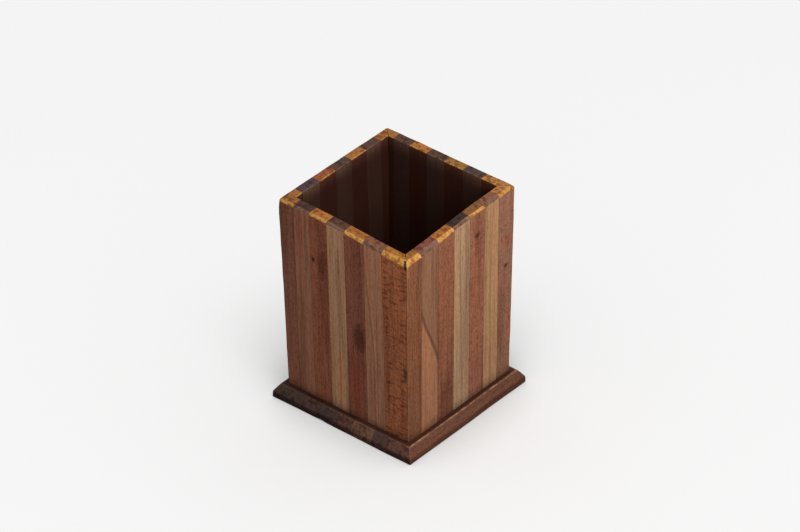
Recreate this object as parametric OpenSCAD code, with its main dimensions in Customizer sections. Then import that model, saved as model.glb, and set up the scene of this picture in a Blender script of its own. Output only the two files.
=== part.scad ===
// Desk organizer: a square, open-topped pen box of upright hardwood strips, standing on a
// bevelled base plate that is glued up from seven strips of its own.
//
// Each wall is a panel of seven strips that are edge-glued, red and tan by turns. The four
// panels are mitred at the corners, lean outwards a little, and stand on the plate, which is
// also the box's floor.
//
// Origin: the middle of the underside, on the surface that the organizer stands on.
// +Z is up, -Y is the front wall, +X is the right wall. Sizes are in millimetres.

/* [Box] */
// Outside width of the box halfway up the walls, the same along X and Y
box_w = 76.8; // [70:0.2:110]
// How far each wall leans outwards from its foot to the rim
flare = 1.7; // [0:0.1:4]
// Height of the four walls above the base plate
wall_h = 107; // [60:1:160]
// Thickness of the wall panels
wall_t = 6.2; // [4:0.2:7.6]
// Width of the sanded bevel around the outside of the rim
rim_bevel = 1.2; // [0.4:0.1:2.4]
// Width of the small easing around the inside of the rim
rim_easing = 0.4; // [0.2:0.1:1]

/* [Base plate] */
// Thickness of the base plate
base_t = 7.4; // [6:0.2:12]
// Width of the flat ledge between a wall and the bevel
ledge_w = 2.65; // [1:0.05:8]
// Width of the bevel, measured level
bevel_run = 2.8; // [1:0.1:8]
// Height of the bevel
bevel_drop = 4.2; // [1:0.1:5]

/* [Hidden] */
// Widths of the strips as shares of their panel. X_SHARES runs from -X to +X and holds for
// the front and back walls, Y_SHARES runs from -Y to +Y and holds for the other two, and
// BASE_SHARES runs from -X to +X across the plate. Every cut is a straight saw cut.
X_SHARES = [9, 10, 11, 11, 12, 11.5, 15.5];
Y_SHARES = [10.5, 12.5, 12, 11.8, 11.2, 10.8, 11.2];
BASE_SHARES = [18.5, 10, 12, 8.5, 13, 9.5, 14.5];

half_foot = (box_w - flare) / 2;
half_rim = (box_w + flare) / 2;
base_w = 2 * (half_foot + ledge_w + bevel_run);
half_base = base_w / 2;
edge_h = base_t - bevel_drop;

// Colours of the woods on their sanded faces
RED_WOOD = [0.44, 0.25, 0.18];
TAN_WOOD = [0.58, 0.43, 0.30];
GREY_WOOD = [0.30, 0.23, 0.22];
BROWN_WOOD = [0.46, 0.31, 0.22];

WALL_COLOURS = [RED_WOOD, TAN_WOOD, RED_WOOD, TAN_WOOD, RED_WOOD, TAN_WOOD, RED_WOOD];
BASE_COLOURS = [GREY_WOOD, RED_WOOD, GREY_WOOD, RED_WOOD, BROWN_WOOD, GREY_WOOD, RED_WOOD];

// Sum of the first n entries of a list
function sum_first(list, n) = n == 0 ? 0 : list[n - 1] + sum_first(list, n - 1);

// Where cut number n falls across a panel that is centred on zero and this wide
function cut_at(shares, n, width) =
    width * (sum_first(shares, n) / sum_first(shares, len(shares)) - 0.5);

// How far a wall has leaned outwards at a height above its foot
function lean(height) = flare * height / wall_h;

// Upright section through a wall: the foot of the outside face at 0, that of the inside face
// at wall_t, and both leaning outwards
module wall_section() {
    bevel_z = wall_h - rim_bevel;
    easing_z = wall_h - rim_easing;
    polygon([
        [0, 0],
        [wall_t, 0],
        [wall_t - lean(easing_z), easing_z],
        [wall_t - flare - rim_easing, wall_h],
        [rim_bevel - flare, wall_h],
        [-lean(bevel_z), bevel_z]
    ]);
}

// Plan that a strip in the wall at -Y stays within, from one cut to the next. An end strip is
// mitred: it runs out to the corner, along the diagonal of the box.
module strip_plan(from, to) {
    inside_end = half_foot - wall_t;
    polygon([
        [from, -half_rim],
        [to, -half_rim],
        [min(to, inside_end), -inside_end],
        [max(from, -inside_end), -inside_end]
    ]);
}

// One upright strip in the wall at -Y, standing on the base plate
module wall_strip(shares, n) {
    from = n == 1 ? -half_rim : cut_at(shares, n - 1, box_w);
    to = n == len(shares) ? half_rim : cut_at(shares, n, box_w);
    translate([0, 0, base_t])
        intersection() {
            linear_extrude(wall_h) strip_plan(from, to);
            translate([from, -half_foot, 0])
                rotate([90, 0, 90])
                    linear_extrude(to - from) wall_section();
        }
}

// The front and back walls share their cuts, and so do the left and right walls: the back
// wall is the front wall mirrored, so that strip 1 is at -X in both of them.
module front_strip(n) {
    color(WALL_COLOURS[n - 1]) wall_strip(X_SHARES, n);
}

module back_strip(n) {
    color(WALL_COLOURS[n - 1]) mirror([0, 1, 0]) wall_strip(X_SHARES, n);
}

// Strip 1 is at -Y in the left and right walls
module right_strip(n) {
    color(WALL_COLOURS[n - 1]) rotate([0, 0, 90]) wall_strip(Y_SHARES, n);
}

module left_strip(n) {
    color(WALL_COLOURS[n - 1]) mirror([1, 0, 0]) rotate([0, 0, 90]) wall_strip(Y_SHARES, n);
}

// Section through the base plate: an upright edge, a bevel, and the flat top
module plate_section() {
    polygon([
        [-half_base, 0],
        [half_base, 0],
        [half_base, edge_h],
        [half_base - bevel_run, base_t],
        [-half_base + bevel_run, base_t],
        [-half_base, edge_h]
    ]);
}

// The plate's section drawn out along Y
module plate_bar() {
    translate([0, half_base, 0])
        rotate([90, 0, 0])
            linear_extrude(base_w) plate_section();
}

// One strip of the plate, which runs from front to back and is bevelled with its neighbours
module base_strip(n) {
    from = cut_at(BASE_SHARES, n - 1, base_w);
    to = cut_at(BASE_SHARES, n, base_w);
    color(BASE_COLOURS[n - 1])
        intersection() {
            plate_bar();
            rotate([0, 0, 90]) plate_bar();
            translate([from, -half_base, 0]) cube([to - from, base_w, base_t]);
        }
}

front_strip(1);  // front_strip_1
front_strip(2);  // front_strip_2
front_strip(3);  // front_strip_3
front_strip(4);  // front_strip_4
front_strip(5);  // front_strip_5
front_strip(6);  // front_strip_6
front_strip(7);  // front_strip_7
right_strip(1);  // right_strip_1
right_strip(2);  // right_strip_2
right_strip(3);  // right_strip_3
right_strip(4);  // right_strip_4
right_strip(5);  // right_strip_5
right_strip(6);  // right_strip_6
right_strip(7);  // right_strip_7
back_strip(1);  // back_strip_1
back_strip(2);  // back_strip_2
back_strip(3);  // back_strip_3
back_strip(4);  // back_strip_4
back_strip(5);  // back_strip_5
back_strip(6);  // back_strip_6
back_strip(7);  // back_strip_7
left_strip(1);  // left_strip_1
left_strip(2);  // left_strip_2
left_strip(3);  // left_strip_3
left_strip(4);  // left_strip_4
left_strip(5);  // left_strip_5
left_strip(6);  // left_strip_6
left_strip(7);  // left_strip_7
base_strip(1);  // base_strip_1
base_strip(2);  // base_strip_2
base_strip(3);  // base_strip_3
base_strip(4);  // base_strip_4
base_strip(5);  // base_strip_5
base_strip(6);  // base_strip_6
base_strip(7);  // base_strip_7
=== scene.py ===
"""A desk organizer: a square pen box of upright hardwood strips on a bevelled base plate.

Every strip is its own piece, shaped as a hand-sanded length of wood: its edges are eased, its
faces are a little uneven, and the rim is bevelled by hand, most of all at the front corner.
The walls lean outwards a little from foot to rim.
The red strips are sapele and the tan and grey ones are walnut. Both were sanded and oiled.
"""

import math

import bmesh
import bpy
from mathutils import Matrix, Vector, noise


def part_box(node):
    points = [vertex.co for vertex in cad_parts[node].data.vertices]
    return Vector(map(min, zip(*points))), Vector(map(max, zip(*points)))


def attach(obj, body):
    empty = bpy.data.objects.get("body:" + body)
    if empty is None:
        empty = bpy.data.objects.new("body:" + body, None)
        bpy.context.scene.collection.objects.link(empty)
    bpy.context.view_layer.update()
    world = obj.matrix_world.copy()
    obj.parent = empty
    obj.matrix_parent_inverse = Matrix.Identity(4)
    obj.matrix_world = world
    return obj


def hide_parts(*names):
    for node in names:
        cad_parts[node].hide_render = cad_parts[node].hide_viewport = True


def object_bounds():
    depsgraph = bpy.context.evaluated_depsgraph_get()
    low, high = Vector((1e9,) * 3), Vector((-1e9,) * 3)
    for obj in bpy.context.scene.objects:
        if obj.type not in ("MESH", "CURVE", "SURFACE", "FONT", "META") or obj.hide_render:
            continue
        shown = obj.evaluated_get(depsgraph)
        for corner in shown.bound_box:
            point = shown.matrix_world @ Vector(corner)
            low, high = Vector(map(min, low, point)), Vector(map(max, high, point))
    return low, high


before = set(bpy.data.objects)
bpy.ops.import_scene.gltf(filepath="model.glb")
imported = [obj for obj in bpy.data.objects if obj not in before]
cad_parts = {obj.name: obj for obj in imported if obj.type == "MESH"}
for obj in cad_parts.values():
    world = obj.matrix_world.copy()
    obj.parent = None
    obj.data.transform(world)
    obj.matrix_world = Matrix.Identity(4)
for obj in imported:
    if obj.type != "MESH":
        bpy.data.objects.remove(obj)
CAD_LOW, CAD_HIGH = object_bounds()

MM = 0.001

# ---------------------------------------------------------------- sizes, from the frame

WALLS = {
    # wall: (axis it runs along, axis it faces, side of the box)
    "front": (0, 1, -1),
    "right": (1, 0, 1),
    "back": (0, 1, 1),
    "left": (1, 0, -1),
}
STRIPS_PER_PANEL = 7

BASE_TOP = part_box("base_strip_1")[1].z
RIM_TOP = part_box("front_strip_1")[1].z
HALF_BASE = CAD_HIGH.x
# The walls lean outwards by this much from foot to rim
FLARE = 1.7 * MM
HALF_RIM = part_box("right_strip_1")[1].x
HALF_FOOT = HALF_RIM - FLARE
WALL_T = HALF_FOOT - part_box("right_strip_1")[0].x

# Hand sanding leaves waves this long across the faces, and this deep on the walls
WAVE_LENGTH = 26 * MM
SANDING_WAVE = 0.16 * MM
# How far one strip may stand behind the next, in the walls and in the plate
WALL_SET_BACK = 0.05 * MM
BASE_SET_BACK = 0.06 * MM
# Half of the gap between two strips, and the easing of their edges
HALF_GAP = 0.01 * MM
JOINT_EASING = 0.14 * MM
# Edges that turn more sharply than this stay crisp
SHARP_ANGLE = math.radians(38)

# The rim: a bevel outside, whose width wanders, and an easing inside
RIM_BEVEL = 1.25 * MM
RIM_BEVEL_WANDER = 0.22 * MM
RIM_BEVEL_WANDER_LENGTH = 7 * MM
RIM_EASING = 0.45 * MM
RIM_WAVE = 0.12 * MM
RIM_WEAR = 0.45
# 0 is a flat bevel and 1 is a quarter round
BEVEL_ROUNDNESS = 0.4

# The upright corners of the box
ARRIS_RADIUS = 0.8 * MM
ARRIS_WANDER = 0.35 * MM
ARRIS_WANDER_LENGTH = 9 * MM
# They are rounder at the rim: most at the left corner, and a third of that at the others
RIM_CORNER_RADIUS = 1.2 * MM
RIM_CORNER_REACH = 3.5 * MM

# The front corner, which the hand sander wore down most
FRONT_CORNER = Vector((HALF_RIM, -HALF_RIM))
FRONT_CORNER_BEVEL = 1.0 * MM
FRONT_CORNER_REACH = 24 * MM
FRONT_CORNER_DIP = 3.0 * MM
FRONT_CORNER_DIP_REACH = 40 * MM
# The chip out of the front wall's side of that corner, at the rim
CHIP_RADIUS = 1.9 * MM
CHIP_W = 1.5 * MM
CHIP_H = 7 * MM
# Painted shade darkens the chip
CHIP_SHADE = 0.85
# The glue line down that corner has opened and filled with dirt
GLUE_LINE_W = 0.7 * MM

# Painted shade darkens the walls just above the plate
FOOT_SHADE = 0.6
FOOT_SHADE_H = 8 * MM
FOOT_EASING = 0.18 * MM
# Painted shade darkens the inside, and less so just below the rim
INSIDE_SHADE_AT_RIM = 0.74
INSIDE_SHADE_H = 9 * MM

# The plate: an upright edge, a bevel, and the flat top. Its outline wanders, and its top waves
BASE_EDGE_H = 3.2 * MM
BASE_BEVEL_RUN = 2.8 * MM
BASE_ARRIS_RADIUS = 0.3 * MM
BASE_OUTLINE_WANDER = 0.35 * MM
BASE_TOP_WAVE = 0.1 * MM
# Painted shade in the corner where the walls meet the plate
LEDGE_SHADE_W = 1.8 * MM
LEDGE_SHADE = 0.72
# A painted highlight along the top of the bevel: strongest on the right, and less on the other sides
BASE_HIGHLIGHT_RIGHT = 0.62
BASE_HIGHLIGHT = 0.38
BASE_HIGHLIGHT_H = 0.3 * MM
# A nick in the lower edge of the plate's front side
NICK_X = -13 * MM
NICK_W = 2.2 * MM
NICK_H = 0.9 * MM

# How close together the points of a mesh are: far from a corner, and at each side of one
WALL_STEP = 1.2 * MM
WALL_ROWS = 56
BEVEL_ROWS = 8
# Shares of the way through a wall, closer together near its faces
WALL_LAYERS = [0, 0.12, 0.24, 0.4, 0.6, 0.8, 0.94, 1]
BASE_STEP_X = 1.3 * MM
BASE_STEP_Y = 1.4 * MM
JOINT_STEPS = [0.12 * MM, 0.24 * MM]
ARRIS_STEPS = [0.3 * MM, 0.6 * MM, 0.9 * MM, 1.4 * MM, 2.0 * MM, 2.6 * MM, 3.2 * MM]
BASE_JOINT_STEPS = [0.2 * MM]
BASE_CORNER_STEPS = [0.3 * MM, 0.6 * MM, 0.9 * MM]


# ---------------------------------------------------------------- mesh making

def block(name, across, deep, levels, place):
    """A closed block of wood: a ring of points at each level, and a grid over both ends.

    place(a, b, level) gives the point that is the share a across the block and b into it, and
    from 0 to 1 how worn the wood is there (on the plate, how strong its painted highlight is),
    how close to a glue line, and how much painted shade it has.
    """
    mesh = bmesh.new()
    layers = [mesh.verts.layers.float.new(layer) for layer in ("wear_and_highlight", "seam", "stain")]
    points = {}

    def point(i, j, k):
        if (i, j, k) not in points:
            spot, *amounts = place(across[i], deep[j], levels[k])
            made = mesh.verts.new(spot)
            for layer, amount in zip(layers, amounts):
                made[layer] = amount
            points[i, j, k] = made
        return points[i, j, k]

    last_i, last_j, last_k = len(across) - 1, len(deep) - 1, len(levels) - 1
    for k in (0, last_k):
        for i in range(last_i):
            for j in range(last_j):
                corners = (i, j), (i + 1, j), (i + 1, j + 1), (i, j + 1)
                mesh.faces.new([point(*corner, k) for corner in corners])
    for k in range(last_k):
        for i in range(last_i):
            for j in (0, last_j):
                corners = (i, j, k), (i + 1, j, k), (i + 1, j, k + 1), (i, j, k + 1)
                mesh.faces.new([point(*corner) for corner in corners])
        for j in range(last_j):
            for i in (0, last_i):
                corners = (i, j, k), (i, j + 1, k), (i, j + 1, k + 1), (i, j, k + 1)
                mesh.faces.new([point(*corner) for corner in corners])
    bmesh.ops.recalc_face_normals(mesh, faces=mesh.faces)
    for face in mesh.faces:
        face.smooth = True
    data = bpy.data.meshes.new(name)
    mesh.to_mesh(data)
    mesh.free()
    data.set_sharp_from_angle(angle=SHARP_ANGLE)
    piece = bpy.data.objects.new(name, data)
    bpy.context.scene.collection.objects.link(piece)
    return piece


def mix(low, high, share):
    """The value that is a share of the way from low to high."""
    return low + (high - low) * share


def shares(length, start_steps, end_steps, step):
    """Shares of a length: fine steps at both ends, given as distances, and even ones between."""
    start, end = start_steps[-1], length - end_steps[-1]
    count = max(2, round((end - start) / step))
    middle = [mix(start, end, n / count) for n in range(1, count)]
    ends = [length - far for far in reversed(end_steps)]
    return [far / length for far in [0, *start_steps, *middle, *ends, length]]


def rounded(along, radius):
    """Where a point goes when the right-angled corner it is near is rounded over.

    along is its distance from the corner. Returns the new distance and the depth.
    """
    turn = math.radians(45) * (1 - along / radius)
    return radius * (1 - math.sin(turn)), radius * (1 - math.cos(turn))


def round_over(along, low, high, low_radius, high_radius):
    """Rounds over the corners at the two ends of a face. Returns the new place and the depth.

    A corner with a radius of 0 stays as it is.
    """
    if low_radius and along - low < low_radius:
        shifted, sink = rounded(along - low, low_radius)
        return low + shifted, sink
    if high_radius and high - along < high_radius:
        shifted, sink = rounded(high - along, high_radius)
        return high - shifted, sink
    return along, 0


def waviness(x, y, z, seed=0):
    """Smooth unevenness from 0 to 1, as hand sanding leaves."""
    spot = Vector((x, y, z)) / WAVE_LENGTH + Vector((seed, 0, 0))
    return 0.5 + 0.5 * max(-1, min(1, 1.5 * noise.noise(spot)))


# ---------------------------------------------------------------- the walls

def cut(wall, number):
    """Where a strip starts and ends along its wall."""
    low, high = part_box(f"{wall}_strip_{number}")
    axis = WALLS[wall][0]
    return low[axis], high[axis]


def half_box_at(z):
    """Half the outside width of the leaning walls, at a height."""
    return mix(HALF_FOOT, HALF_RIM, (z - BASE_TOP) / (RIM_TOP - BASE_TOP))


def rim_bevel_at(spot):
    """Width of the bevel around the outside of the rim, near a spot in plan."""
    far = (spot - FRONT_CORNER).length / FRONT_CORNER_REACH
    wander = RIM_BEVEL_WANDER * noise.noise(Vector((spot.x, spot.y, 0)) / RIM_BEVEL_WANDER_LENGTH)
    return RIM_BEVEL + FRONT_CORNER_BEVEL * math.exp(-far * far) + wander


def rim_dip_at(spot):
    """How much lower the rim is, near a spot in plan, where sanding wore the front corner down."""
    far = (spot - FRONT_CORNER).length / FRONT_CORNER_DIP_REACH
    wave = RIM_WAVE * waviness(3 * spot.x, 3 * spot.y, 0, seed=5)
    return FRONT_CORNER_DIP * math.exp(-far * far) + wave


def arris_radius_at(spot, chipped, z):
    """Radius of the box's upright corners: worn unevenly, and rounder at the rim."""
    wander = ARRIS_WANDER * noise.noise(Vector((spot.x, spot.y, z)) / ARRIS_WANDER_LENGTH)
    radius = ARRIS_RADIUS + wander
    below_rim = RIM_TOP - z
    if chipped:
        return radius + CHIP_RADIUS * max(0, 1 - below_rim / CHIP_H) ** 0.6
    if (spot - FRONT_CORNER).length < WALL_T:
        return radius
    rounder = RIM_CORNER_RADIUS if spot.x < 0 and spot.y < 0 else RIM_CORNER_RADIUS / 3
    return radius + rounder * math.exp(-(below_rim / RIM_CORNER_REACH) ** 2)


def up_the_bevel(share):
    """How far in and how far up the rim's bevel has come, as shares, part of the way up it."""
    turn = math.radians(90) * share
    return (
        mix(share, 1 - math.cos(turn), BEVEL_ROUNDNESS),
        mix(share, math.sin(turn), BEVEL_ROUNDNESS),
    )


def wall_stain(inside, in_chip, bevelled, z, rim):
    """How much painted shade a wall has, from 0 to 1: inside, in the chip, and just above the plate.
    """
    if inside:
        return mix(INSIDE_SHADE_AT_RIM, 1, min(1, (rim - z) / INSIDE_SHADE_H)) if bevelled < 0.5 else 0
    if in_chip:
        return CHIP_SHADE
    return FOOT_SHADE * max(0, 1 - (z - BASE_TOP) / FOOT_SHADE_H) ** 1.5


def wall_levels():
    """The levels of a wall strip from foot to rim, as (height, bevelled, inset of the foot).

    height and bevelled are shares of the way up the face and then up the bevel.
    """
    foot = [(0, 0, FOOT_EASING), (0.002, 0, 0)]
    face = [(row / WALL_ROWS, 0, 0) for row in range(1, WALL_ROWS)]
    # The last hundredth of the face has levels closer together, as the bevel has
    top = [(0.99 + 0.0025 * row, 0, 0) for row in range(4)]
    bevel = [(1, row / BEVEL_ROWS, 0) for row in range(BEVEL_ROWS + 1)]
    return foot + face + top + bevel


def wall_strip(wall, number):
    """One upright strip, from the base plate to the rim."""
    along_axis, facing_axis, side = WALLS[wall]
    start, end = cut(wall, number)
    mitred_start, mitred_end = number == 1, number == STRIPS_PER_PANEL
    chipped = wall == "front" and mitred_end
    set_back = WALL_SET_BACK * noise.random()

    def in_plan(along, depth, half_box=HALF_RIM):
        spot = Vector((0, 0))
        spot[along_axis] = along
        spot[facing_axis] = side * (half_box - depth)
        return spot

    def ends(half_box, depth):
        low = -half_box + depth if mitred_start else start
        high = half_box - depth if mitred_end else end
        return low, high

    def place(a, b, level):
        height, bevelled, foot = level
        outward, inward = b == 0, b == 1
        sunk, risen = up_the_bevel(bevelled)
        bevel = rim_bevel_at(in_plan(mix(start, end, a), 0))
        depth = mix(bevel * sunk + foot, WALL_T - RIM_EASING * sunk, b)
        bevel_height = mix(bevel, RIM_EASING, b)
        rim = RIM_TOP - rim_dip_at(in_plan(mix(*ends(HALF_RIM, depth), a), depth))
        z = mix(BASE_TOP, rim - bevel_height, height) + bevel_height * risen
        half_box = half_box_at(z)
        low, high = ends(half_box, depth)
        gap = JOINT_EASING * sunk * 0.5 + HALF_GAP
        along = mix(low + gap, high - gap, a)
        on_arris = outward and (
            (mitred_start and along - low < ARRIS_RADIUS / 2)
            or (mitred_end and high - along < ARRIS_RADIUS / 2 and not chipped)
        )
        if outward or inward:
            arris = arris_radius_at(in_plan(along, depth), chipped, z) if outward else 0
            low_radius = arris if mitred_start else JOINT_EASING
            high_radius = arris if mitred_end else JOINT_EASING
            along, sink = round_over(along, low, high, low_radius, high_radius)
            depth += sink if outward else -sink
        spot = in_plan(along, depth, half_box)
        uneven = SANDING_WAVE * waviness(spot.x, spot.y, z) + set_back
        spot = in_plan(along, depth + uneven * (1 - 2 * b), half_box)
        wear_and_highlight = 1 if on_arris else RIM_WEAR if bevelled > 0 and outward else 0
        from_corner = high - along if chipped and outward else math.inf
        seam = 1 if a in (0, 1) or from_corner < GLUE_LINE_W else 0
        in_chip = from_corner < CHIP_W and z > RIM_TOP - CHIP_H and bevelled < 0.8
        stain = wall_stain(inward, in_chip, bevelled, z, rim)
        return Vector((spot.x, spot.y, z)), wear_and_highlight, seam, stain

    across = shares(
        end - start,
        ARRIS_STEPS if mitred_start else JOINT_STEPS,
        ARRIS_STEPS if mitred_end else JOINT_STEPS,
        WALL_STEP,
    )
    return block(f"{wall}_stave_{number}", across, WALL_LAYERS, wall_levels(), place)


# ---------------------------------------------------------------- the base plate

def base_profile():
    """The plate's edge from the underside to the top, as (inset, height), its corners eased."""
    corners = [
        # (corner, easing)
        (Vector((0, 0)), 0.35 * MM),
        (Vector((0, BASE_EDGE_H)), 0.7 * MM),
        (Vector((BASE_BEVEL_RUN, BASE_TOP)), 0.55 * MM),
    ]
    underside = Vector((BASE_BEVEL_RUN, 0))
    flat_top = Vector((2 * BASE_BEVEL_RUN, BASE_TOP))
    stops = [underside, *(corner for corner, easing in corners), flat_top]
    steps = 4
    profile = []
    for (corner, easing), before, after in zip(corners, stops, stops[2:]):
        first = corner + (before - corner).normalized() * easing
        last = corner + (after - corner).normalized() * easing
        for step in range(steps + 1):
            share = step / steps
            profile.append(mix(mix(first, corner, share), mix(corner, last, share), share))
    return profile


def nick_at(x):
    """How far the nick in the front edge reaches up, at a place along it."""
    return NICK_H * math.exp(-((x - NICK_X) / NICK_W) ** 2)


def base_stain(x, y):
    """How much painted shade the plate has, from 0 to 1: most inside the box, some along the walls.
    """
    out = max(abs(x), abs(y))
    if out < HALF_FOOT - WALL_T / 2:
        return 1
    return LEDGE_SHADE if out < HALF_FOOT + LEDGE_SHADE_W else 0


def base_strip(number):
    """One strip of the base plate, running from front to back."""
    low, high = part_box(f"base_strip_{number}")
    outer_start, outer_end = number == 1, number == STRIPS_PER_PANEL
    set_back = BASE_SET_BACK * noise.random()

    def place(a, b, level):
        inset, height = level
        at_x, at_y = mix(low.x, high.x, a), mix(-HALF_BASE, HALF_BASE, b)
        wander = BASE_OUTLINE_WANDER * waviness(at_x, at_y, 0, seed=9)
        half = HALF_BASE - inset - wander
        start = -half if outer_start else low.x + HALF_GAP
        end = half if outer_end else high.x - HALF_GAP
        x, y = mix(start, end, a), mix(-half, half, b)
        on_front_or_back = b in (0, 1)
        on_side = (outer_start and a == 0) or (outer_end and a == 1)
        if on_front_or_back:
            start_radius = BASE_ARRIS_RADIUS if outer_start else 0
            end_radius = BASE_ARRIS_RADIUS if outer_end else 0
            x, sink = round_over(x, start, end, start_radius, end_radius)
            y -= math.copysign(sink, y)
        elif on_side:
            y, sink = round_over(y, -half, half, BASE_ARRIS_RADIUS, BASE_ARRIS_RADIUS)
            x -= math.copysign(sink, x)
        unevenness = (BASE_TOP_WAVE * waviness(x, y, 0, seed=2) + set_back) * height / BASE_TOP
        nick = nick_at(x) if b == 0 and height < BASE_EDGE_H / 2 else 0
        at_edge = on_front_or_back or on_side
        # Painted highlight along the top of the bevel, strongest on the right side
        wear_and_highlight_strength = BASE_HIGHLIGHT_RIGHT if x > HALF_FOOT else BASE_HIGHLIGHT
        wear_and_highlight = wear_and_highlight_strength if at_edge and height > BASE_TOP - BASE_HIGHLIGHT_H else 0
        seam = 1 if a in (0, 1) and not on_side else 0
        return Vector((x, y, height + nick - unevenness)), wear_and_highlight, seam, base_stain(x, y)

    across = shares(
        high.x - low.x,
        BASE_CORNER_STEPS if outer_start else BASE_JOINT_STEPS,
        BASE_CORNER_STEPS if outer_end else BASE_JOINT_STEPS,
        BASE_STEP_X,
    )
    deep = shares(2 * HALF_BASE, BASE_CORNER_STEPS, BASE_CORNER_STEPS, BASE_STEP_Y)
    return block(f"base_stave_{number}", across, deep, base_profile(), place)


# ---------------------------------------------------------------- materials

def linear(hex_colour, shade=1.0):
    """An sRGB colour, written as six hex digits, as linear RGBA, made darker or lighter by shade."""
    parts = [int(hex_colour[at:at + 2], 16) / 255 for at in (0, 2, 4)]
    parts = [c / 12.92 if c <= 0.04045 else ((c + 0.055) / 1.055) ** 2.4 for c in parts]
    return [c * shade for c in parts] + [1]


def add(tree, kind, inputs=None, **settings):
    """Adds a node with its settings. An input is a value, a socket, or a node's first output."""
    made = tree.nodes.new(kind)
    for name, value in settings.items():
        setattr(made, name, value)
    for socket, value in (inputs or {}).items():
        if isinstance(value, bpy.types.Node):
            value = value.outputs[0]
        if isinstance(value, bpy.types.NodeSocket):
            tree.links.new(value, made.inputs[socket])
        else:
            made.inputs[socket].default_value = value
    return made


# Typical of oiled wood: the refractive index of its oil, and a satin surface
OIL_IOR = 1.47
SATIN = 0.52
# How much rougher it is in the pores
PORE_ROUGHNESS = 0.22
# Years of handling have dulled it: 0.5 would be the full gloss of its oil
DULLED = 0.22
# The deepest that pores and fibres reach below the surface
RELIEF = 0.07 * MM


def new_material(name):
    """An empty material, and the node tree to build it in."""
    material = bpy.data.materials.new(name)
    material.use_nodes = True
    material.node_tree.nodes.clear()
    return material, material.node_tree


def stock_space(tree, fibres, number):
    """Where a point lies in the board that its strip was sawn from, in mm, with Z up the grain."""
    return add(tree, "ShaderNodeMapping", {
        "Vector": add(tree, "ShaderNodeTexCoord").outputs["Object"],
        "Location": (37.0 * number, 53.0 * number, 211.0 * number),
        "Rotation": (math.radians(90), 0, 0) if fibres == "Y" else (0, 0, 0),
        "Scale": (1 / MM, 1 / MM, 1 / MM),
    })


def streaks(tree, stock, width, length, detail=2.0, roughness=0.5):
    """Marks that run with the grain, this wide and this long in mm, as a value round 0.5."""
    stretched = add(tree, "ShaderNodeMapping", {
        "Vector": stock,
        "Scale": (1 / width, 1 / width, 1 / length),
    })
    return add(tree, "ShaderNodeTexNoise", {
        "Vector": stretched,
        "Scale": 1.0,
        "Detail": detail,
        "Roughness": roughness,
    })


def tint(tree, colour, pattern, start, full, tone, strength=1.0, blend="MULTIPLY"):
    """Blends a tone over a colour, from none where the pattern is at start to all of it at full."""
    share = add(tree, "ShaderNodeMapRange", {
        "Value": pattern, "From Min": start, "From Max": full, "To Max": strength,
    }, interpolation_type="SMOOTHSTEP")
    return add(tree, "ShaderNodeMixRGB", {
        "Fac": share, "Color1": colour, "Color2": tone,
    }, blend_type=blend)


def growth_rings(tree, stock, spacing):
    """Growth rings this far apart in mm, about a pith off to one side, as a value from 0 to 1."""
    about_pith = add(tree, "ShaderNodeMapping", {
        "Vector": stock,
        "Location": (31.0, 17.0, 0.0),
        "Scale": (1.0, 1.0, 0.03),
    })
    scale_for_1_mm = math.pi / 10
    return add(tree, "ShaderNodeTexWave", {
        "Vector": about_pith,
        "Scale": scale_for_1_mm / spacing,
        "Distortion": 5.0,
        "Detail": 2.0,
        "Detail Scale": 0.6,
    }, wave_type="RINGS", rings_direction="Z", wave_profile="SAW")


def strip_spot(tree, wall, number):
    """Where a point lies on its strip, in mm: X across from the left edge, Z up from the foot."""
    turned = WALLS[wall][0] == 1
    start = cut(wall, number)[0]
    foot = (0, start, BASE_TOP) if turned else (start, 0, BASE_TOP)
    return add(tree, "ShaderNodeMapping", {
        "Vector": add(tree, "ShaderNodeVectorMath", {
            0: add(tree, "ShaderNodeTexCoord").outputs["Object"], 1: foot,
        }, operation="SUBTRACT"),
        "Rotation": (0, 0, math.radians(-90) if turned else 0),
        "Scale": (1 / MM, 1 / MM, 1 / MM),
    })


def patch(tree, colour, spot, middle, reach, tone, strength=1.0):
    """Tints a ragged oval patch on a strip. middle and reach are (across, up) in mm."""
    oval = add(tree, "ShaderNodeMapping", {
        "Vector": spot,
        "Location": (-middle[0] / reach[0], 0, -middle[1] / reach[1]),
        "Scale": (1 / reach[0], 0, 1 / reach[1]),
    })
    far = add(tree, "ShaderNodeVectorMath", {0: oval}, operation="LENGTH").outputs["Value"]
    # Noise with waves of 2 mm makes the edge ragged
    torn = add(tree, "ShaderNodeTexNoise", {"Vector": spot, "Scale": 0.5, "Detail": 3.0})
    ragged = add(tree, "ShaderNodeMath", {0: torn, 1: 1.1, 2: far}, operation="MULTIPLY_ADD")
    return tint(tree, colour, ragged, 1.8, 0.9, tone, strength)


def beyond_slant(tree, spot, low, high):
    """How far right of a slanting growth line a point is, in mm. low and high are (across, up)."""
    split = add(tree, "ShaderNodeSeparateXYZ", {"Vector": spot})
    line = add(tree, "ShaderNodeMapRange", {
        "Value": split.outputs["Z"],
        "From Min": low[1], "From Max": high[1], "To Min": low[0], "To Max": high[0],
    }, interpolation_type="SMOOTHSTEP")
    return add(tree, "ShaderNodeMath", {0: split.outputs["X"], 1: line}, operation="SUBTRACT")


def mineral_streak(tree, spot, colour):
    """A dark mineral streak that runs slantwise down the strip, grey above it and orange below."""
    beyond = beyond_slant(tree, spot, (14.5, 23), (-2.5, 84))
    colour = tint(tree, colour, beyond, -0.6, 1.6, linear("E4DCD6"))
    colour = tint(tree, colour, beyond, 0.6, -2.5, linear("FFF0E0", 1.08))
    near = add(tree, "ShaderNodeMath", {0: beyond}, operation="ABSOLUTE")
    return tint(tree, colour, near, 1.5, 0.2, linear("8E7466"), 0.7)


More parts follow.
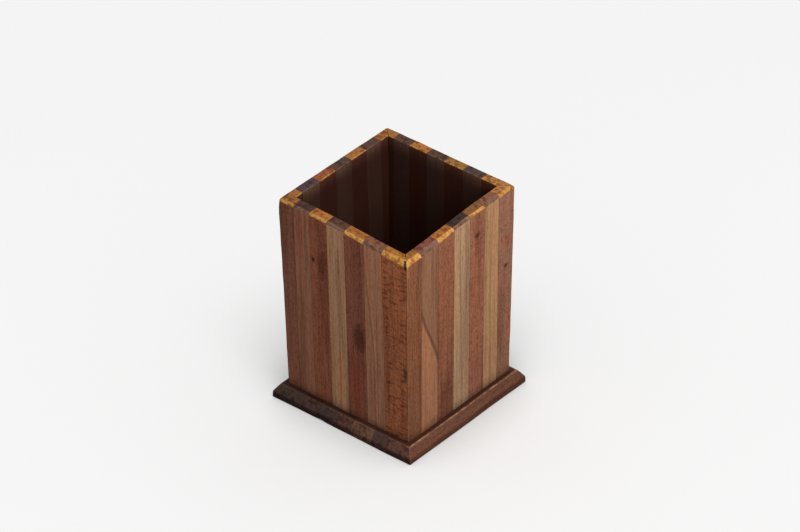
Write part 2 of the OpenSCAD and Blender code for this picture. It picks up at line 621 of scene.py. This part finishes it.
def slanting_lines(tree, spot, colour):
    """A pale growth line beside a dark one, which slant down the strip."""
    beyond = beyond_slant(tree, spot, (6.0, 35), (1.4, 105))
    pale = add(tree, "ShaderNodeMath", {0: beyond}, operation="ABSOLUTE")
    colour = tint(tree, colour, pale, 0.9, 0.1, linear("FFF0D8", 1.35), 0.5)
    shifted = add(tree, "ShaderNodeMath", {0: beyond, 1: 1.1}, operation="ADD")
    dark = add(tree, "ShaderNodeMath", {0: shifted}, operation="ABSOLUTE")
    return tint(tree, colour, dark, 0.9, 0.1, linear("A68C7A"), 0.4)


def end_grain(tree, colour, fibres, stock, top, bevel):
    """The sawn end of a strip: speckled across the cut, and paler where its edge was sanded off.

    The ends soak up more oil than the faces, and it creeps a little way down the grain.
    """
    normal = add(tree, "ShaderNodeSeparateXYZ", {
        "Vector": add(tree, "ShaderNodeTexCoord").outputs["Normal"],
    })
    across = add(tree, "ShaderNodeMath", {0: normal.outputs[fibres]}, operation="ABSOLUTE")
    grit = streaks(tree, stock, width=0.9, length=0.9, detail=3.0, roughness=0.65)
    blotch = streaks(tree, stock, width=2.6, length=2.6)
    end = tint(tree, linear(bevel), across, 0.88, 0.97, linear(top), 1.0, "MIX")
    end = tint(tree, end, grit, 0.56, 0.40, linear("BC9878"), 0.6)
    end = tint(tree, end, grit, 0.54, 0.70, linear("FFEED0", 1.12), 0.7)
    end = tint(tree, end, blotch, 0.52, 0.36, linear("B48E76"), 0.8)
    creep = streaks(tree, stock, width=0.9, length=3.0)
    edge = add(tree, "ShaderNodeMath", {0: creep, 1: 0.5, 2: across}, operation="MULTIPLY_ADD")
    return tint(tree, colour, edge, 0.46, 0.66, end, 1.0, "MIX")


def oiled_surface(tree, colour, relief):
    """The oiled surface over a wood's colour: worn edges and a painted highlight, dirt in the joints,
    painted shade, gloss and relief.
    """
    # This attribute holds real wear on the walls, and a painted highlight along the top of the
    # plate's bevel
    worn = add(tree, "ShaderNodeAttribute", attribute_name="wear_and_highlight").outputs["Fac"]
    seam = add(tree, "ShaderNodeAttribute", attribute_name="seam").outputs["Fac"]
    stain = add(tree, "ShaderNodeAttribute", attribute_name="stain").outputs["Fac"]
    # Worn edges are rubbed through, and the painted highlight on the plate's bevel broken up, in
    # patches about 3 mm long
    wear_and_highlight_strength = add(tree, "ShaderNodeTexNoise", {
        "Vector": add(tree, "ShaderNodeTexCoord").outputs["Object"], "Scale": 0.35 / MM,
    })
    uneven = add(tree, "ShaderNodeMath", {0: worn, 1: wear_and_highlight_strength}, operation="MULTIPLY")
    colour = tint(tree, colour, uneven, 0.15, 0.5, linear("8C6646"), 0.8, "LIGHTEN")
    colour = tint(tree, colour, seam, 0.0, 1.0, linear("4A342A"), 0.45)
    # Painted shade: near black-red inside the box, in the chip, in the corner where walls meet the
    # plate, and at the walls' foot
    colour = tint(tree, colour, stain, 0.0, 1.0, linear("220A04"), 0.985, "MIX")
    matt = add(tree, "ShaderNodeMapRange", {
        "Value": relief, "From Min": 0.75, "From Max": 0.3,
        "To Min": SATIN, "To Max": SATIN + PORE_ROUGHNESS,
    })
    bump = add(tree, "ShaderNodeBump", {"Height": relief, "Strength": 0.5, "Distance": RELIEF})
    shader = add(tree, "ShaderNodeBsdfPrincipled", {
        "Base Color": colour, "Roughness": matt, "Normal": bump, "IOR": OIL_IOR,
        "Specular IOR Level": DULLED,
    })
    add(tree, "ShaderNodeOutputMaterial", {"Surface": shader})


def sapele(tree, fibres, number, colour, top, bevel, ripple=0):
    """Sapele, sanded and oiled: red-brown with interlocked grain.

    Its grain leans to and fro in turn, so wide bands take the light by turns and short flecks
    cross the grain. Where the tree grew in waves, a ripple from 0 to 1 crosses it too. Its cut
    ends soak up the oil and show golden.
    """
    stock = stock_space(tree, fibres, number)
    ribbon = streaks(tree, stock, width=3.6, length=90)
    # Real fibres and pores are 0.1 to 0.2 mm wide; they are drawn at 0.4 mm or more, to show
    fine = streaks(tree, stock, width=0.75, length=16, detail=3.0, roughness=0.6)
    fleck = streaks(tree, stock, width=0.8, length=1.5, roughness=0.7)
    pores = streaks(tree, stock, width=0.4, length=3.6, detail=1.0)
    colour = tint(tree, colour, ribbon, 0.52, 0.36, linear("D8CAC4"), 0.7)
    colour = tint(tree, colour, ribbon, 0.50, 0.66, linear("FFF0E4", 1.15), 0.7)
    colour = tint(tree, colour, fine, 0.54, 0.36, linear("DCCAC0"), 0.7)
    colour = tint(tree, colour, fleck, 0.54, 0.38, linear("D0B8AA"), 0.65)
    colour = tint(tree, colour, fleck, 0.54, 0.70, linear("FFECDC", 1.22), 0.6)
    if ripple:
        waves = streaks(tree, stock, width=4.5, length=1.3, detail=3.0, roughness=0.6)
        colour = tint(tree, colour, waves, 0.50, 0.64, linear("FFE2C4", 1.34), ripple)
        colour = tint(tree, colour, waves, 0.48, 0.36, linear("CCA48C"), ripple)
    colour = tint(tree, colour, pores, 0.60, 0.72, linear("B89C8E"), 0.45)
    colour = end_grain(tree, colour, fibres, stock, top, bevel)
    relief = add(tree, "ShaderNodeMath", {0: fleck, 1: 0.4, 2: fine}, operation="MULTIPLY_ADD")
    oiled_surface(tree, colour, relief)


def walnut(tree, fibres, number, colour, top, bevel):
    """Walnut, sanded and oiled: tan to grey-brown with fine straight grain.

    Dark late wood draws thin lines down it, its pores are long and fine, and its cut ends
    soak up so much oil that they turn a dark brown.
    """
    stock = stock_space(tree, fibres, number)
    rings = growth_rings(tree, stock, spacing=2.4)
    wide = streaks(tree, stock, width=2.8, length=110)
    # Real pores are 0.2 mm wide; they are drawn at 0.4 mm, to show
    fine = streaks(tree, stock, width=0.6, length=30, detail=3.0, roughness=0.6)
    pores = streaks(tree, stock, width=0.4, length=5.0, detail=1.0)
    fleck = streaks(tree, stock, width=0.9, length=2.4, roughness=0.7)
    colour = tint(tree, colour, wide, 0.52, 0.36, linear("DED2C8"), 0.7)
    colour = tint(tree, colour, wide, 0.50, 0.66, linear("FFF4E6", 1.13), 0.7)
    colour = tint(tree, colour, rings, 0.55, 1.0, linear("CCBAAC"), 0.25)
    colour = tint(tree, colour, fine, 0.54, 0.36, linear("D4C2B4"), 0.5)
    colour = tint(tree, colour, fine, 0.54, 0.70, linear("FFF2E0", 1.14), 0.4)
    colour = tint(tree, colour, fleck, 0.52, 0.38, linear("D0BEB2"), 0.4)
    colour = tint(tree, colour, pores, 0.60, 0.72, linear("B8A294"), 0.45)
    colour = end_grain(tree, colour, fibres, stock, top, bevel)
    relief = add(tree, "ShaderNodeMath", {0: pores, 1: -0.4, 2: fine}, operation="MULTIPLY_ADD")
    oiled_surface(tree, colour, relief)


# ---------------------------------------------------------------- stage, light, camera

FLOOR_SIZE = 6
# The floor glows this strongly, except in a contact shadow painted into the glow, which reaches this
# far
FLOOR_GLOW = 0.205
CONTACT_SHADOW_REACH = 32 * MM
# How bright the white studio is: as light on the object, and as the backdrop itself
STUDIO_LIGHT = 0.5
STUDIO_BACKDROP = 0.913
# The height that the lamps face
LAMP_AIM_H = 60 * MM


def stage():
    """A sweep of white paper, lit from overhead. The camera sees it glow, with a contact shadow
    painted into the glow and the overhead lamp's shadow on it, while only a little of its light
    reaches the object."""
    bpy.ops.mesh.primitive_plane_add(size=FLOOR_SIZE, location=(0, 0, 0))
    floor = bpy.context.object
    floor.name = "floor"
    material, tree = new_material("pale_paper_sweep")
    paper = add(tree, "ShaderNodeBsdfDiffuse", {"Color": linear("E7E7E7")})
    # Painted shadow: an ambient occlusion node dims the glow close to the object
    near = add(tree, "ShaderNodeAmbientOcclusion", {
        "Distance": CONTACT_SHADOW_REACH,
    }, samples=16)
    glow_with_painted_shadow = add(tree, "ShaderNodeMapRange", {
        "Value": near.outputs["AO"],
        "From Min": 0.4, "From Max": 0.95, "To Min": 0.0, "To Max": FLOOR_GLOW,
    })
    glow = add(tree, "ShaderNodeEmission", {"Color": linear("FFFFFF"), "Strength": glow_with_painted_shadow})
    lit = add(tree, "ShaderNodeAddShader", {0: paper, 1: glow})
    dim = add(tree, "ShaderNodeBsdfDiffuse", {"Color": linear("505050")})
    seen = add(tree, "ShaderNodeLightPath")
    both = add(tree, "ShaderNodeMixShader", {0: seen, 1: dim, 2: lit})
    add(tree, "ShaderNodeOutputMaterial", {"Surface": both})
    floor.data.materials.append(material)
    return floor


def area_light(name, azimuth, elevation, distance, size, power):
    """A square softbox that faces the box. Azimuth 0 is in front, and 90 is on the right."""
    turn, lift = math.radians(azimuth), math.radians(elevation)
    back = Vector((math.sin(turn) * math.cos(lift), -math.cos(turn) * math.cos(lift), math.sin(lift)))
    data = bpy.data.lights.new(name, "AREA")
    data.shape = "SQUARE"
    data.size = size
    data.energy = power
    lamp = bpy.data.objects.new(name, data)
    lamp.location = Vector((0, 0, LAMP_AIM_H)) + back * distance
    lamp.rotation_euler = back.to_track_quat("Z", "Y").to_euler()
    bpy.context.scene.collection.objects.link(lamp)
    return lamp


def flag(lamp, floor, floor_state):
    """Flags a lamp so that it lights everything but the floor, or nothing but the floor."""
    lit = bpy.data.collections.new("flag_for_" + lamp.name)
    lit.objects.link(floor)
    lamp.light_linking.receiver_collection = lit
    lit.collection_objects[0].light_linking.link_state = floor_state


def lights(floor):
    """A white studio, a soft key light from the right, and a soft light overhead for the floor."""
    world = bpy.data.worlds.new("white_studio")
    bpy.context.scene.world = world
    world.use_nodes = True
    tree = world.node_tree
    tree.nodes.clear()
    seen = add(tree, "ShaderNodeLightPath")
    strength = add(tree, "ShaderNodeMapRange", {
        "Value": seen, "To Min": STUDIO_LIGHT, "To Max": STUDIO_BACKDROP,
    })
    glow = add(tree, "ShaderNodeBackground", {"Color": linear("FFFFFF"), "Strength": strength})
    add(tree, "ShaderNodeOutputWorld", {"Surface": glow})
    key = area_light("key", azimuth=72, elevation=45, distance=0.45, size=0.3, power=3.0)
    overhead = area_light("overhead", azimuth=50, elevation=70, distance=4, size=2.3, power=78)
    flag(key, floor, "EXCLUDE")
    flag(overhead, floor, "INCLUDE")
    bpy.context.scene.view_settings.view_transform = "Standard"


def camera():
    """A long lens that looks down on the front corner."""
    azimuth, elevation, roll = (math.radians(angle) for angle in (40.63, 35.11, -0.76))
    aim = Vector((1.47, 0.0, 72.5)) * MM
    distance = 2295 * MM
    back = Vector((
        math.sin(azimuth) * math.cos(elevation),
        -math.cos(azimuth) * math.cos(elevation),
        math.sin(elevation),
    ))
    data = bpy.data.cameras.new("camera")
    data.sensor_width = 36
    data.lens = 220
    eye = bpy.data.objects.new("camera", data)
    level = back.to_track_quat("Z", "Y").to_matrix()
    turned = (level @ Matrix.Rotation(roll, 3, "Z")).to_4x4()
    eye.matrix_world = Matrix.Translation(aim + back * distance) @ turned
    bpy.context.scene.collection.objects.link(eye)
    bpy.context.scene.camera = eye


# ---------------------------------------------------------------- putting it together

noise.seed_set(7)
camera()
lights(stage())


def finish_piece(strip, material, node):
    """Gives a strip its wood, and its place in the frame."""
    strip.data.materials.append(material)
    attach(strip, "root")
    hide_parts(node)


# The woods of the walls by strip: the kind, and the colours of its long grain, of its cut end,
# and of the sanded bevel at that end
SAPELE_BEVEL = "A47838"
WALNUT_BEVEL = "5E463A"
WALL_WOODS = {
    "front": [
        (sapele, "8A5C4A", "895A28", SAPELE_BEVEL),
        (walnut, "986952", "3F2B26", WALNUT_BEVEL),
        (sapele, "925D45", "925D27", SAPELE_BEVEL),
        (walnut, "B18869", "4C3224", WALNUT_BEVEL),
        (sapele, "8B5845", "865524", SAPELE_BEVEL),
        (walnut, "A3735A", "68432F", WALNUT_BEVEL),
        (sapele, "9D6647", "8A5A20", SAPELE_BEVEL),
    ],
    "right": [
        (sapele, "754E37", "7A501E", SAPELE_BEVEL),
        (walnut, "8E6953", "683C30", WALNUT_BEVEL),
        (sapele, "80553F", "8B5524", SAPELE_BEVEL),
        (walnut, "9A7C61", "30231D", WALNUT_BEVEL),
        (sapele, "865B47", "704A26", SAPELE_BEVEL),
        (walnut, "9E7857", "6E4A35", WALNUT_BEVEL),
        (sapele, "86614F", "966739", SAPELE_BEVEL),
    ],
    "back": [
        (sapele, "885A42", "94602C", SAPELE_BEVEL),
        (walnut, "A48164", "503A30", WALNUT_BEVEL),
        (sapele, "845541", "9A642A", SAPELE_BEVEL),
        (walnut, "A08264", "4A362C", WALNUT_BEVEL),
        (sapele, "875646", "82602C", SAPELE_BEVEL),
        (walnut, "A17B60", "423630", WALNUT_BEVEL),
        (sapele, "8B5D44", "946632", SAPELE_BEVEL),
    ],
    "left": [
        (sapele, "865A42", "8B5A28", SAPELE_BEVEL),
        (walnut, "9D7D5E", "46363A", WALNUT_BEVEL),
        (sapele, "855641", "8A4E2A", SAPELE_BEVEL),
        (walnut, "A38365", "4C382E", WALNUT_BEVEL),
        (sapele, "885844", "94602C", SAPELE_BEVEL),
        (walnut, "9B795F", "50382C", WALNUT_BEVEL),
        (sapele, "855A43", "94602C", SAPELE_BEVEL),
    ],
}
BASE_WOODS = [
    (walnut, "3F2A29", "332725", "3F3029"),
    (sapele, "3E2319", "37241F", "44302A"),
    (walnut, "3A251F", "342524", "3C2F2B"),
    (sapele, "442719", "452C25", "50352A"),
    (walnut, "503628", "563C32", "5E4436"),
    (walnut, "422B26", "422C2A", "44302A"),
    (sapele, "583829", "452E28", "52372C"),
]

# Marks in single strips, as (middle, reach, tone, strength); middle and reach are (across, up)
# from the strip's lower left corner, in mm
LIGHT = linear("FFE6CC", 1.25)
RED = linear("FFD0C0", 1.05)
DARK = linear("8C7468")
VERY_DARK = linear("5C443C")
GOLDEN = linear("FFFFB4", 1.9)
PATCHES = {
    "front_2": [((3.6, 93), (2.6, 14), RED, 0.55), ((3.2, 72), (3.0, 14), LIGHT, 0.4)],
    "front_3": [((1.6, 81), (1.1, 1.6), VERY_DARK, 0.9), ((7.0, 80), (3.0, 9), DARK, 0.5)],
    "front_4": [((1.5, 54), (1.5, 60), LIGHT, 0.3), ((6.5, 20), (2.8, 22), LIGHT, 0.5)],
    "front_5": [((8.0, 48), (5.0, 9.0), DARK, 0.65), ((5.0, 20), (4.5, 20), RED, 0.7)],
    "front_6": [((10.2, 88), (0.8, 20), LIGHT, 0.7)],
    "front_7": [
        # Painted shade in the chip at the front corner
        ((14.6, 103), (1.6, 4), VERY_DARK, 0.9),
        ((12.8, 90), (1.5, 10), DARK, 0.35),
        ((13.0, 40), (1.3, 5), VERY_DARK, 0.65),
        ((2.0, 50), (1.6, 50), DARK, 0.3),
    ],
    "right_1": [((0.0, 101), (2.2, 7), GOLDEN, 1.0), ((8.6, 60), (1.4, 22), RED, 0.6)],
    "right_3": [((6.0, 12), (5.5, 14), DARK, 0.35)],
    "right_4": [((2.0, 60), (2.0, 50), LIGHT, 0.2), ((9.6, 55), (1.8, 60), DARK, 0.35)],
    "right_5": [((5.4, 93), (2.4, 1.6), VERY_DARK, 0.7), ((5.0, 70), (4.0, 16), LIGHT, 0.35)],
    "right_7": [((6.2, 78), (1.8, 4), RED, 0.9), ((5.5, 64), (2.2, 1.4), DARK, 0.8)],
}
FIGURES = {"right_2": mineral_streak, "front_6": slanting_lines}
RIPPLES = {"front_7": 1.0, "front_3": 0.25, "right_3": 0.3, "right_5": 0.3, "right_7": 0.3}

for wall_number, (wall, woods) in enumerate(WALL_WOODS.items()):
    for number, (species, grain, end, bevel) in enumerate(woods, 1):
        place_name = f"{wall}_{number}"
        strip = wall_strip(wall, number)
        material, tree = new_material(f"{species.__name__}_{place_name}")
        colour = linear(grain)
        spot = strip_spot(tree, wall, number)
        for mark in PATCHES.get(place_name, []):
            colour = patch(tree, colour, spot, *mark)
        if place_name in FIGURES:
            colour = FIGURES[place_name](tree, spot, colour)
        seed = number + 10 * wall_number
        ripple = {"ripple": RIPPLES[place_name]} if place_name in RIPPLES else {}
        species(tree, "Z", seed, colour, end, bevel, **ripple)
        finish_piece(strip, material, f"{wall}_strip_{number}")
for number, (species, grain, end, bevel) in enumerate(BASE_WOODS, 1):
    strip = base_strip(number)
    material, tree = new_material(f"{species.__name__}_base_{number}")
    species(tree, "Y", 50 + number, linear(grain), end, bevel)
    finish_piece(strip, material, f"base_strip_{number}")
